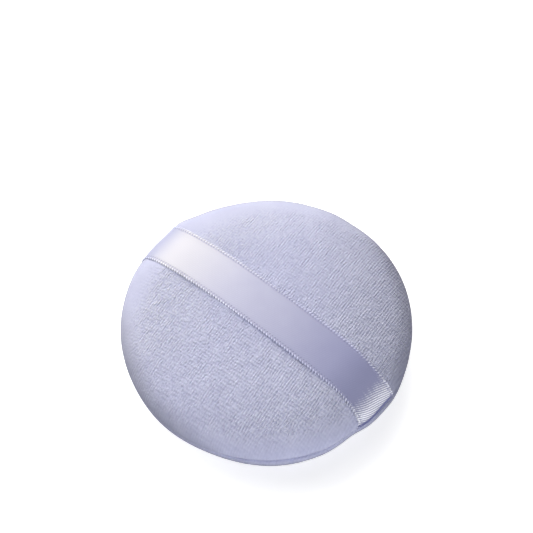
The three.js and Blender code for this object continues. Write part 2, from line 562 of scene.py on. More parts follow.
@dataclass(frozen=True)
class VelourFinish:
    """Short-pile velour: knitted relief in the crown that smooths out round the rim.

    The eases run over the place along X, and the others name what they run over. A way is a
    level direction, and painted light and shade are added to the share of pile colour over the
    colour of the knit's valleys. Several masks paint shade into the colour: on the side away from
    the lamps, round the rim, in a band under the seam and where the cloth is seen from the side.
    """

    pile: tuple = colour(231, 233, 255)
    # Painted light: the pile is tinted less blue towards -X, the side that the lamps light most.
    lit_side_pile: tuple = colour(231, 233, 243)
    # Painted shade: the knit's valleys are darker, standing in for the shade in the recesses of its
    # relief.
    valley_shade: tuple = colour(181, 183, 217)
    pile_share: Ease = Ease(-20 * MM, -4 * MM)
    rib: float = 0.536 * MM
    loop: float = 0.73 * MM
    wander: float = 0.38 * MM
    rib_depth: Ease = Ease(0.0, 15 * MM, 0.155, 0.225)
    loop_depth: Ease = Ease(-14 * MM, 20 * MM, 0.06, 0.15)
    relief: float = 0.4 * MM
    knit_way: tuple = (0.342, 0.940, 0.0)
    knit_across: tuple = (-0.940, 0.342, 0.0)
    knit_shift: float = 0.8 * MM
    knit_lead: float = 1.6 * MM
    knit_squash: float = 1.17
    knit_by_radius: Ease = Ease(26.5 * MM, 32.5 * MM, 1.0, 0.0)
    knit_left: Ease = Ease(-5 * MM, 10 * MM, 0.08, 0.2)
    knit_gain: Ease = Ease(5 * MM, 23 * MM, 0.72, 0.98)
    raked_gain_by_y: Ease = Ease(-1 * MM, 9 * MM, 1.0, 0.8)
    crease: Ease = Ease(-22 * MM, 8 * MM, 0.06, 0.5)
    crease_noise: tuple = (480, 5, 0.68)
    cloud_scale: float = 160.0
    cloud_depth: float = 0.35
    cloud_light: float = 0.6
    # Painted shade: where the knit fades round the rim, the colour is darkened in place of the
    # knit's bump shade.
    smooth_rim_shade: float = 0.14
    # Painted light and shade along X: the colour is darker towards -X, where the lamps fall
    # strongest, in step with the knit's gain.
    gain_painted_light: float = 0.4
    gain_level: float = 0.97
    middle: tuple = (-3 * MM, 5 * MM, 0.0)
    # Painted shade: the cloth is darker round the middle of the crown, next to the ribbon.
    painted_shade_near_ribbon: Ease = Ease(7 * MM, 20 * MM, -0.12, 0.0)
    # Painted shade: darker still towards the -X rim.
    painted_shade_far_side: Ease = Ease(-26 * MM, -4 * MM, -0.1, 0.0)
    # Painted shade: a band of the bottom cover just under the seam is darkened, as in the seam's
    # groove.
    seam_shade_rise_by_z: Ease = Ease(3.0 * MM, 4.8 * MM, 0.0, 0.55)
    seam_shade_fall_by_z: Ease = Ease(5.4 * MM, 7.1 * MM, 1.0, 0.0)
    # Painted shade: the colour darkens where the cloth is seen from the side, most at its
    # silhouette.
    side_shade_depth: float = 0.3
    side_shade_power: float = 1.5
    outline_shade_depth: float = 0.62
    outline_shade_power: float = 8.5
    # Painted shade: the colour darkens towards +X+Y, the side away from the lamps.
    shade_way: tuple = (0.763, 0.646, 0.0)
    shade_along_way: Ease = Ease(2 * MM, 33 * MM, 0.0, 0.3)
    # Painted shade: the rim is darkened where it turns down towards the seam, except on the far
    # side that the lamps light.
    rim_shade_way: tuple = (-0.32, -0.88, 0.0)
    rim_shade_along_ways: Ease = Ease(19 * MM, 28 * MM, 0.0, 0.37)
    rim_shade_by_radius: Ease = Ease(25.0 * MM, 30.2 * MM)
    cloth: tuple = (
        ("Roughness", 0.95),
        ("Specular IOR Level", 0.15),
        ("Sheen Weight", 0.12),
        ("Sheen Roughness", 0.6),
        ("Sheen Tint", colour(225, 225, 245)),
    )

    def crown(self, sheet: Surface, ahead: Signal) -> Signal:
        """Where the knit shows: 1 in the crown, and what is left of it round the rim.

        Args:
            sheet: The velour's sheet.
            ahead: Place along X.

        Returns:
            The share of the knit.
        """
        long = sheet.vector("DOT_PRODUCT", sheet.place, self.knit_way) - self.knit_shift
        over = sheet.vector("DOT_PRODUCT", sheet.place, self.knit_across) + self.knit_lead
        radius = sheet.vector("LENGTH", sheet.join(long, over * self.knit_squash))
        left = sheet.ease(ahead, self.knit_left)
        return sheet.ease(radius, self.knit_by_radius) * (1.0 - left) + left

    def material(self) -> Material:
        """Mixes the velour, with painted shade where it is seen from the side.

        Returns:
            Its material.
        """
        sheet = Surface("velour")
        place = sheet.place
        ahead, beside, up = sheet.split(place)
        level = sheet.vector("MULTIPLY", place, (1, 1, 0))
        crown = self.crown(sheet, ahead)
        yarn = {"Rib": self.rib, "Loop": self.loop, "Wander": self.wander}
        yarn["Rib Depth"] = sheet.ease(ahead, self.rib_depth)
        yarn["Loop Depth"] = sheet.ease(ahead, self.loop_depth)
        knit = sheet.effect(KnitEffect().tree(), yarn) - 0.5
        crease = sheet.noise(place, *self.crease_noise) - 0.5
        # Painted shade in the smooth zone round the rim, where the knit fades.
        ground = crown * self.smooth_rim_shade + (0.5 - self.smooth_rim_shade)
        ground = crease * sheet.ease(ahead, self.crease) + ground
        gain = sheet.ease(ahead, self.knit_gain)
        raked = gain * sheet.ease(beside, self.raked_gain_by_y)
        height = (knit * (crown * raked) + ground).clamped()

        # Painted light and shade: darker towards -X, in step with the knit's gain.
        light = (gain - self.gain_level) * crown * self.gain_painted_light + height
        away = sheet.vector("DISTANCE", level, self.middle)
        # Painted shade next to the ribbon, round the middle of the crown.
        light = light + sheet.ease(away, self.painted_shade_near_ribbon)
        # Painted shade towards the -X rim, the side that the lamps light most.
        light = light + sheet.ease(ahead, self.painted_shade_far_side)
        clouds = {"Scale": self.cloud_scale, "Depth": self.cloud_depth}
        cloud = sheet.effect(CloudEffect().tree(), clouds) - 0.5
        shade = (cloud * self.cloud_light + light).clamped()
        # Painted light: a less blue pile towards -X, where the lamps fall strongest.
        pile = sheet.blend(sheet.ease(ahead, self.pile_share), self.lit_side_pile, self.pile)
        # Painted shade in the knit's valleys; the pile tops keep the lighter colour.
        base_colour = sheet.blend(shade, self.valley_shade, pile)

        # Painted shade on the side away from the lamps.
        way = sheet.vector("DOT_PRODUCT", place, self.shade_way)
        # Painted shade round the rim, away from the lamps.
        sides = sheet.math("MAXIMUM", way, sheet.vector("DOT_PRODUCT", place, self.rim_shade_way))
        rim = sheet.ease(sheet.vector("LENGTH", level), self.rim_shade_by_radius)
        rim = rim * sheet.ease(sides, self.rim_shade_along_ways)
        # Painted shade in a band under the seam.
        low = sheet.ease(up, self.seam_shade_rise_by_z) * sheet.ease(up, self.seam_shade_fall_by_z)
        # Painted shade where the cloth is seen from the side and at its silhouette.
        facing = sheet.take("ShaderNodeLayerWeight", "Facing", {"Blend": 0.5})
        outline_shade = facing**self.outline_shade_power * self.outline_shade_depth
        aside = facing**self.side_shade_power * self.side_shade_depth + outline_shade
        # Each of these masks paints shade into the colour, towards black.
        for dark in (sheet.ease(way, self.shade_along_way), sheet.math("MAXIMUM", rim, low), aside):
            base_colour = sheet.blend(dark, base_colour, BLACK)
        normal = sheet.bump(height, self.relief)
        return sheet.dress({**dict(self.cloth), "Base Color": base_colour, "Normal": normal})


@dataclass(frozen=True)
class SatinFinish:
    """Satin: floats that slant across the ribbon and a gloss that spreads across it.

    Towards the near end the floats carry a painted highlight, and towards the far end a painted
    yellower tint under its highlight; painted shade lies before the near end's highlight, in the
    fold and where the far end rolls over the rim. The eases run over the length from the near end,
    or as they are named. A slit is a gap between the loops of the woven edge, painted darker as
    shade, and begins and ends at a distance from the ribbon's middle.
    """

    length: float
    face: tuple = colour(146, 148, 187)
    shade: tuple = colour(130, 133, 177)
    # Painted highlight: a near-white colour where the satin turns down at the near end.
    painted_highlight: tuple = colour(236, 237, 246)
    # Painted shade: dark blue where the satin turns into the seam at the near end.
    dark: tuple = colour(54, 60, 122)
    # Painted shade: where the satin rolls over the rim at the far end.
    far: tuple = colour(151, 154, 187)
    # Painted shade: the slits between the edge's loops are darker, as in their shade; their dent is
    # a bump.
    slit: tuple = colour(132, 135, 176)
    # Painted shade: darker before the near end's highlight, where the satin slopes away from the
    # lamps.
    slope_shade: tuple = colour(108, 111, 152)
    # Painted light: a yellower, less blue tint towards the far end, under its highlight.
    highlight_tint: tuple = colour(146, 145, 170)
    row: float = 0.44 * MM
    dash: float = 0.72 * MM
    slant: float = -0.37
    swing: float = 0.3
    relief: float = 0.02 * MM
    relief_strength: float = 0.6
    cloud_scale: float = 260.0
    cloud_depth: float = 0.8
    slope_shade_share: Ease = Ease(12.0 * MM, 20.0 * MM, 0.7, 0.0)
    highlight_tint_from_far_end: Ease = Ease(12.0 * MM, 32.0 * MM, 1.0, 0.0)
    far_shade_from_far_end: Ease = Ease(7.2 * MM, 13.2 * MM, 1.0, 0.0)
    fold_shade_share: Ease = Ease(5.45 * MM, 5.95 * MM, 1.0, 0.0)
    # Share of the painted highlight, by length from the near end and by the floats' height.
    painted_highlight_share: Ease = Ease(8.0 * MM, 10.8 * MM, 1.0, 0.0)
    painted_highlight_by_height: Ease = Ease(0.3, 0.8, 0.0, 0.9)
    streaks: tuple = (2600.0, 320.0, 0.0)
    streak_detail: float = 1
    streak_length: float = 3.5 * MM
    slit_phase: float = 4.0 * MM
    slit_pitch: float = 0.675 * MM
    slit_by_wave: Ease = Ease(0.1, 0.8)
    slit_begins: Ease = Ease(4.1 * MM, 4.3 * MM)
    slit_ends: Ease = Ease(4.45 * MM, 4.65 * MM, 1.0, 0.0)
    slit_depth: float = 0.09 * MM
    gloss: float = 0.4
    dulling: float = 0.5
    far_dulling: float = 0.4
    shine: tuple = (
        ("Specular Tint", (1.0, 0.985, 0.9, 1.0)),
        ("IOR", 1.7),
        ("Specular IOR Level", 1.0),
        ("Anisotropic", 0.9),
    )

    def material(self) -> Material:
        """Mixes the satin.

        Returns:
            Its material.
        """
        sheet = Surface("satin")
        lay = sheet.take("ShaderNodeUVMap", "UV", uv_map="lay")
        across, along, _ = sheet.split(lay)
        reach = self.length - along
        rows = (across * self.slant + along) / self.row
        shift = sheet.math("FLOOR", rows) * math.pi
        floats = sheet.math("COSINE", across * (TURN / self.dash) + shift)
        floats = floats * self.swing + (1 - self.swing)
        height = sheet.math("SINE", rows * TURN) * floats * 0.5 + 0.5

        clouds = {"Scale": self.cloud_scale, "Depth": self.cloud_depth}
        base_colour = sheet.blend(sheet.effect(CloudEffect().tree(), clouds), self.shade, self.face)
        streaks = sheet.vector("MULTIPLY", lay, self.streaks)
        streak = sheet.noise(streaks, 1.0, self.streak_detail) - 0.5
        # Painted highlight towards the near end, with streaky edges.
        highlit = sheet.ease(streak * self.streak_length + reach, self.painted_highlight_share)
        # Painted shade in the fold into the seam; it is also rougher.
        fold_shade = sheet.ease(reach, self.fold_shade_share)
        # Painted shade where the far end rolls over the rim; it is also rougher.
        far_shade = sheet.ease(along, self.far_shade_from_far_end)
        # The slits: a bump dent, rougher, and painted darker as shade.
        slit = sheet.math("COSINE", (along - self.slit_phase) * (TURN / self.slit_pitch))
        slit = sheet.ease(slit, self.slit_by_wave)
        aside = sheet.math("ABSOLUTE", across)
        for ease in (self.slit_begins, self.slit_ends):
            slit = slit * sheet.ease(aside, ease)
        # Painted light and shade laid over the satin's cloudy colour, one mask at a time: shade
        # before the near end's highlight, a yellower tint under the far end's highlight, the near
        # end's highlight, shade in the fold, shade where the far end rolls over the rim and shade
        # in the slits.
        for share, dye in (
            (sheet.ease(reach, self.slope_shade_share), self.slope_shade),
            (sheet.ease(along, self.highlight_tint_from_far_end), self.highlight_tint),
            (highlit * sheet.ease(height, self.painted_highlight_by_height), self.painted_highlight),
            (fold_shade, self.dark),
            (far_shade, self.far),
            (slit, self.slit),
        ):
            base_colour = sheet.blend(share, base_colour, dye)

        rough = sheet.math("MAXIMUM", slit, far_shade * self.far_dulling)
        rough = sheet.math("MAXIMUM", rough, fold_shade) * self.dulling + self.gloss
        weave = sheet.bump(height, self.relief, self.relief_strength)
        depth = {"Height": slit, "Distance": self.slit_depth, "Strength": 1.0, "Normal": weave}
        normal = sheet.take("ShaderNodeBump", "Normal", depth, invert=True)
        tangent = sheet.take("ShaderNodeTangent", 0, direction_type="UV_MAP", uv_map="lay")
        finish = {"Base Color": base_colour, "Roughness": rough, "Normal": normal, "Tangent": tangent}
        return sheet.dress({**dict(self.shine), **finish})


@dataclass(frozen=True)
class ThreadFinish:
    """Spun thread or selvedge yarn, with fine fibres along it.

    The deep colour, a painted shade, lies between the rise and the fall along X, and the far
    colour, a painted shade of the fold, at the -X end.
    """

    name: str = "thread"
    light: tuple = colour(214, 215, 236)
    dark: tuple = colour(176, 178, 208)
    gloss: float = 0.45
    fibre_noise: tuple = (5200, 3)
    fibre_depth: float = 0.03 * MM
    fibre_strength: float = 0.4
    # Painted shade: the deep colour dims the loops in the middle, away from the highlights at the
    # ribbon's ends.
    deep: tuple = colour(206, 207, 236)
    middle_shade_share: float = 0.0
    middle_shade_rise: Ease = Ease(-10 * MM, 2 * MM)
    middle_shade_fall: Ease = Ease(19 * MM, 25 * MM, 1.0, 0.0)
    # Painted shade: the far colour dims the loops where the ribbon rolls over the rim at the far
    # end.
    far: tuple = colour(194, 197, 228)
    far_shade_share: float = 0.0
    far_shade_fall: Ease = Ease(-27.6 * MM, -25.2 * MM, 1.0, 0.0)

    def material(self) -> Material:
        """Mixes the thread.

        Returns:
            Its material.
        """
        sheet = Surface(self.name)
        fibre = sheet.noise(sheet.place, *self.fibre_noise)
        base_colour = sheet.blend(fibre, self.dark, self.light)
        ahead = sheet.split(sheet.place)[0]
        # Painted shade in the middle and at the far end.
        deep = sheet.ease(ahead, self.middle_shade_rise) * sheet.ease(ahead, self.middle_shade_fall)
        base_colour = sheet.blend(deep * self.middle_shade_share, base_colour, self.deep)
        base_colour = sheet.blend(sheet.ease(ahead, self.far_shade_fall) * self.far_shade_share, base_colour, self.far)
        normal = sheet.bump(fibre, self.fibre_depth, self.fibre_strength)
        return sheet.dress({"Base Color": base_colour, "Normal": normal, "Roughness": self.gloss})


@dataclass(frozen=True)
class FoamFinish:
    """Open-cell foam, off-white, with its pores."""

    wall: tuple = colour(243, 240, 230)
    pore: tuple = colour(206, 200, 184)
    cell_scale: float = 1500.0
    wall_share: Ease = Ease(0.15, 0.6)
    pore_depth: float = 0.2 * MM
    pore_strength: float = 0.8
    roughness: float = 0.9

    def material(self) -> Material:
        """Mixes the foam.

        Returns:
            Its material.
        """
        sheet = Surface("foam")
        cells = {"Vector": sheet.place, "Scale": self.cell_scale}
        wall = sheet.ease(sheet.take("ShaderNodeTexVoronoi", "Distance", cells), self.wall_share)
        normal = sheet.bump(wall, self.pore_depth, self.pore_strength)
        base_colour = sheet.blend(wall, self.pore, self.wall)
        return sheet.dress({"Base Color": base_colour, "Normal": normal, "Roughness": self.roughness})


@dataclass(frozen=True)
class RimMark:
    """A place where the rim stands proud of its circle, or is drawn in.

    Attributes:
        angle: Where, in degrees round the puff.
        width: Half width, in degrees, over which it fades.
        top: Swell of the top cover there, in mm.
        bottom: Swell of the bottom cover there, in mm.
    """

    angle: float
    width: float
    top: float
    bottom: float


@dataclass(frozen=True)
class PuffForm:
    """The sizes of the puff and the shape of its crowns.

    Profile places are (radius, height above the seam plane).
    """

    radius: float = 30 * MM
    crown_height: float = 7.8 * MM
    crown_power: float = 2.45
    rest_depth: float = 0.5 * MM
    cloth: float = 0.7 * MM
    lip: float = 0.9 * MM
    allowance: float = 4 * MM
    seam_gap: float = 0.3 * MM
    swell_by_climb: Ease = Ease(0.05, 0.62, 1.0, 0.0)
    marks: tuple[RimMark, ...] = (
        RimMark(167, 3.5, 0.55, 0.3),
        RimMark(101, 4.5, 0.2, 0.1),
        RimMark(66, 14, 0.3, 0.3),
        RimMark(143, 9, -0.28, -0.1),
        RimMark(-112, 11, -0.08, -0.2),
        RimMark(-72, 10, -0.02, -0.22),
        RimMark(-45, 14, 0.1, 0.35),
        RimMark(-14, 4.0, -0.5, -0.6),
        RimMark(-21, 3.5, -0.1, -0.22),
        RimMark(9, 5.0, 0.15, 0.25),
        RimMark(2, 6.5, -0.32, 0.0),
        RimMark(-163, 6.0, 0.12, 0.0),
    )

    @property
    def lip_radius(self) -> float:
        """Radius of the circle that the lips roll round."""
        return self.radius - self.lip

    @property
    def lip_height(self) -> float:
        """Height of the lip's centre above the seam plane."""
        return self.seam_gap / 2 + self.lip

    @property
    def seam_height(self) -> float:
        """Height of the seam plane above the table."""
        return self.crown_height - self.rest_depth

    @property
    def allowance_edge(self) -> float:
        """Radius of the allowance's raw edge."""
        return self.lip_radius - self.allowance

    def profile(self, climb: Array) -> tuple[Array, Array]:
        """The crown's share of its radius and of its rise above the lip, at a climb."""
        angle = np.asarray(climb) * math.pi / 2
        return np.cos(angle).clip(0) ** (2 / self.crown_power), np.sin(angle)

    def facing(self, climb: Array) -> tuple[Array, Array]:
        """The crown's outward direction.

        Args:
            climb: Where on the crown.

        Returns:
            Its parts outward and up.
        """
        share, rise = self.profile(climb)
        steepness = self.crown_power * share ** (self.crown_power - 1)
        out, up = steepness * (self.crown_height - self.lip_height), 2 * rise * self.radius
        length = np.hypot(out, up)
        return out / length, up / length

    def crown(self, climb: Array, offset: float | Array = 0.0) -> tuple[Array, Array]:
        """The crown's face, moved outward by an offset.

        Args:
            climb: Where on the crown.
            offset: Distance outward from the cloth's outer face.

        Returns:
            Radius and height above the seam plane.
        """
        share, rise = self.profile(climb)
        out, up = self.facing(climb)
        height = self.lip_height + (self.crown_height - self.lip_height) * rise
        return self.radius * share + offset * out, height + offset * up

    def climb_at_radius(self, radius: float, offset: float, halvings: int = 40) -> float:
        """The climb at which the crown's face has a radius.

        Args:
            radius: The radius.
            offset: Distance of the face outward from the cloth's outer face.
            halvings: How often the range is halved.

        Returns:
            The climb.
        """
        low, high = 0.0, 1.0
        for _ in range(halvings):
            middle = (low + high) / 2
            outside = self.crown(middle, offset)[0] > radius
            low, high = (middle, high) if outside else (low, middle)
        return low

    def swell(self, side: Side, angle: Array) -> Array:
        """How far the rim stands proud of its circle.

        Args:
            side: Which cover.
            angle: Angles round the puff.

        Returns:
            The swell at each angle, in metres.
        """
        total = np.zeros_like(np.asarray(angle, float))
        for mark in self.marks:
            turn = (np.asarray(angle) - math.radians(mark.angle) + math.pi) % TURN - math.pi
            share = np.exp(-0.5 * (turn / math.radians(mark.width)) ** 2)
            total += (mark.top if side is Side.TOP else mark.bottom) * MM * share
        return total


@dataclass(frozen=True)
class RibbonLay:
    """Where the ribbon lies on the crown, and how deep it presses into the cover.

    Attributes:
        width: Width of the ribbon, laid flat.
        cupping: By how much it is narrower where it lies.
        offset: How far its middle lies towards +Y.
        drift: How far its near end lies towards -Y, by climb.
        gather: By how much it is gathered in over the near shoulder, by climb.
        flare: By how much it spreads at the near seam, by climb.
        tight_flare: By how much it spreads at the tight end, towards -Y alone, by climb.
        tight_press: Depth of the press at the tight end, by climb.
        near_press: Depth of the press at the near end, by climb.
        press_along: Share of the press, by distance along X from the puff's middle.
        press_inside: How far inside the ribbon's edge the press begins to fade.
        press_outside: How far outside the edge it ends.
    """

    width: float = 10 * MM
    cupping: float = 0.2 * MM
    offset: float = 0.22 * MM
    drift: Ease = Ease(0.0, 0.62, 1.3 * MM, 0.0)
    gather: Hump = Hump(0.45 * MM, 0.17, 0.42)
    flare: Hump = Hump(0.5 * MM, 0.09)
    tight_flare: Hump = Hump(0.5 * MM, 0.16)
    tight_press: Ease = Ease(0.2, 0.75, 0.12 * MM, 0.0)
    near_press: Ease = Ease(0.1, 0.5, 0.15 * MM, 0.0)
    press_along: Ease = Ease(0.0, 6 * MM)
    press_inside: float = 0.5 * MM
    press_outside: float = 0.7 * MM

    def middle(self, climb: Array, x: Array) -> Array:
        """Where the ribbon's middle lies along Y, at a climb and on the side of x."""
        near = np.asarray(x) > 0
        return self.offset - np.where(near, self.drift.at(climb), self.tight_flare.at(climb) / 2)

    def breadth(self, climb: Array, x: Array) -> Array:
        """How broad the ribbon lies.

        Args:
            climb: Where on the crown.
            x: Place along the ribbon, of which the sign alone counts.

        Returns:
            Its breadth as a share of its width.
        """
        near = self.flare.at(climb) - self.gather.at(climb)
        change = np.where(np.asarray(x) > 0, near, self.tight_flare.at(climb))
        return 1 + (change - self.cupping) / self.width

    def press(self, climb: Array, x: Array, y: Array) -> Array:
        """How deep the ribbon presses into the top cover.

        Args:
            climb: Where on the crown.
            x: Place along the ribbon.
            y: Place across the puff.

        Returns:
            The depth at each place, in metres.
        """
        half = self.width / 2
        band = Ease(half - self.press_inside, half + self.press_outside, 1.0, 0.0)
        tight = self.tight_press.at(climb) * self.press_along.at(-x)
        near = self.near_press.at(climb) * self.press_along.at(x)
        return band.at(np.abs(y - self.middle(climb, x))) * (tight + near)


@dataclass
class VelourCover:
    """One velour cover: crown, rolled lip, turned-in seam allowance and its inner face.

    Attributes:
        form: Shape of the puff.
        side: Which cover it is.
        lay: Where the ribbon lies on it.
        segments: Points round it.
        rows: Rings from the lip to the middle of the crown, and inner_rows on its inner face.
        lip_rows: Rings round the lip, and inner_lip_rows round its inner face.
        allowance_rows: Steps across the allowance.
        samples: Points at which the crown's profile is measured.
    """

    form: PuffForm
    side: Side
    lay: RibbonLay
    segments: int = 400
    rows: int = 76
    inner_rows: int = 24
    lip_rows: int = 8
    inner_lip_rows: int = 3
    allowance_rows: int = 8
    samples: int = 2001
    soft: Unevenness = Unevenness(11, 15 * MM)
    soft_depth: float = 0.07 * MM
    nap: Unevenness = Unevenness(12, 3.2 * MM, 40)
    nap_depth: float = 0.02 * MM
    uneven_by_climb: Ease = Ease(0.0, 0.2)

    def relief(self, climb: Array, angle: Array, places: Array) -> Array:
        """How far the cloth stands off the plain crown.

        Args:
            climb: Where on the crown.
            angle: Angles round the puff.
            places: The plain crown's places, of shape (..., 3).

        Returns:
            The distance along the crown's outward direction.
        """
        rim = self.form.swell(self.side, angle) * self.form.swell_by_climb.at(climb)
        uneven = self.soft_depth * self.soft.at(places) + self.nap_depth * self.nap.at(places)
        total = rim + uneven * self.uneven_by_climb.at(climb)
        if self.side is Side.TOP:
            total = total - self.lay.press(climb, places[..., 0], places[..., 1])
        return total

    def places(self, radius: Array, height: Array, angle: Array) -> Array:
        """Points in the frame from cylinder coordinates above this cover's seam plane."""
        z = self.form.seam_height + self.side.value * height
        return np.stack([radius * np.cos(angle), radius * np.sin(angle), z + 0 * angle], -1)

    def face(self, climb: Array, offset: float) -> Array:
        """A grid over the crown at an offset from the cloth's outer face.

        Args:
            climb: Climb of each ring.
            offset: Distance outward.

        Returns:
            Points of shape (rings, segments, 3).
        """
        climb, angle = rings(climb, self.segments)
        radius, height = self.form.crown(climb, offset)
        out, up = self.form.facing(climb)
        rise = self.relief(climb, angle, self.places(radius, height, angle))
        return self.places(radius + rise * out, height + rise * up, angle)

    def lip(self, radius: float, turns: Array) -> Array:
        """Rings round the lip.

        Args:
            radius: Radius of the roll.
            turns: Place of each ring on it, from its outermost (0) to its lowest (1).

        Returns:
            Points of shape (rings, segments, 3).
        """
        turns, angle = rings(turns * math.pi / 2, self.segments)
        swell = self.form.swell(self.side, angle)
        if self.side is Side.TOP:
            x, y = self.form.radius * np.cos(angle), self.form.radius * np.sin(angle)
            swell = swell - self.lay.press(np.zeros_like(angle), x, y)
        out = self.form.lip_radius + radius * np.cos(turns) + swell
        return self.places(out, self.form.lip_height - radius * np.sin(turns), angle)

    def allowance(self, height: float, radii: Array) -> Array:
        """Rings over the turned-in allowance.

        Args:
            height: Height above the seam plane.
            radii: Radius of each ring.

        Returns:
            Points of shape (rings, segments, 3).
        """
        radii, angle = rings(radii, self.segments)
        share = Ease(self.form.allowance_edge, self.form.lip_radius).at(radii)
        out = radii + share * self.form.swell(self.side, angle)
        return self.places(out, height + 0 * radii, angle)

    def build(self, name: str, material: Material) -> Piece:
        """Makes the cover as one closed shell.

        Args:
            name: Name of the piece.
            material: Its velour.

        Returns:
            The cover.
        """
        form = self.form
        fine = np.linspace(0, 1, self.samples)
        length = lengths_along(np.stack(form.crown(fine), -1))
        outer, inner = (
            np.interp(np.linspace(0, 1, rows + 1)[:-1], length / length[-1], fine)
            for rows in (self.rows, self.inner_rows)
        )
        gap = form.seam_gap / 2
        inward = np.linspace(form.lip_radius, form.allowance_edge, self.allowance_rows + 1)
        grids = [
            self.face(outer[::-1], 0.0),
            self.lip(form.lip, np.linspace(0, 1, self.lip_rows + 1)[1:]),
            self.allowance(gap, inward[1:]),
            self.allowance(gap + form.cloth, inward[::-1]),
            self.lip(form.lip - form.cloth, np.linspace(1, 0, self.inner_lip_rows + 2)[1:-1]),
            self.face(inner, -form.cloth),
        ]
        top, under = (self.face(np.array([1.0]), -deep)[0, :1] for deep in (0.0, form.cloth))
        if self.side is Side.BOTTOM:
            for part in (grids[0], top):
                settle(part, 0.0)
            for part in (grids[-1], under):
                settle(part, form.cloth)
        maker = MeshMaker()
        maker.shell(np.concatenate(grids)[:, :: -self.side.value], top, under)
        return maker.build(name, material)


@dataclass
class FoamCore:
    """The foam disc inside the covers, grooved round its edge for their allowances."""

    form: PuffForm
    segments: int = 240
    rows: int = 43
    wall_rows: int = 4
    shelf_rows: int = 5
    disc_radius: float = 28 * MM
    clearance: float = 0.3 * MM
    groove_height: float = 1.45 * MM
    pores: Unevenness = Unevenness(31, 1.7 * MM, 48)
    pore_depth: float = 0.16 * MM
    deepest: float = 1.5

    def half(self, side: Side) -> Array:
        """Rings of one half, from its face's middle to the bottom of the groove.

        Args:
            side: Which half.

        Returns:
            Points of shape (rings, segments, 3).
        """
        inset = self.form.cloth + self.clearance
        start = self.form.climb_at_radius(self.disc_radius, -inset)
        face = self.form.crown(np.linspace(1, start, self.rows + 1)[1:], -inset)
        wall = np.linspace(face[1][-1], self.groove_height, self.wall_rows + 1)[1:]
        bottom = self.form.allowance_edge - self.clearance
        shelf = np.linspace(self.disc_radius, bottom, self.shelf_rows + 1)[1:]
        radius = np.concatenate([face[0], np.full_like(wall, self.disc_radius), shelf])
        height = np.concatenate([face[1], wall, np.full_like(shelf, self.groove_height)])
        out, turn = rings(radius, self.segments)
        up = self.form.seam_height + side.value * rings(height, self.segments)[0]
        grid = np.stack([out * np.cos(turn), out * np.sin(turn), up], -1)
        if side is Side.BOTTOM:
            settle(grid, inset)
        return grid

    def build(self, name: str, material: Material) -> Piece:
        """Makes the foam disc as one closed body.

        Args:
            name: Name of the piece.
            material: Its foam.

        Returns:
            The disc.
        """
        shell = np.concatenate([self.half(Side.TOP), self.half(Side.BOTTOM)[::-1]])
        middle = np.array([0, 0, self.form.seam_height])
        pores = np.abs(self.pores.at(shell)).clip(0, self.deepest)[..., None]
        shell = shell + (middle - shell) * pores * self.pore_depth / self.disc_radius
        inset = self.form.cloth + self.clearance
        top = np.array([0, 0, self.form.seam_height + self.form.crown_height - inset])
        maker = MeshMaker()
        maker.shell(shell[:, ::-1], top, np.array([0, 0, inset]))
        return maker.build(name, material)


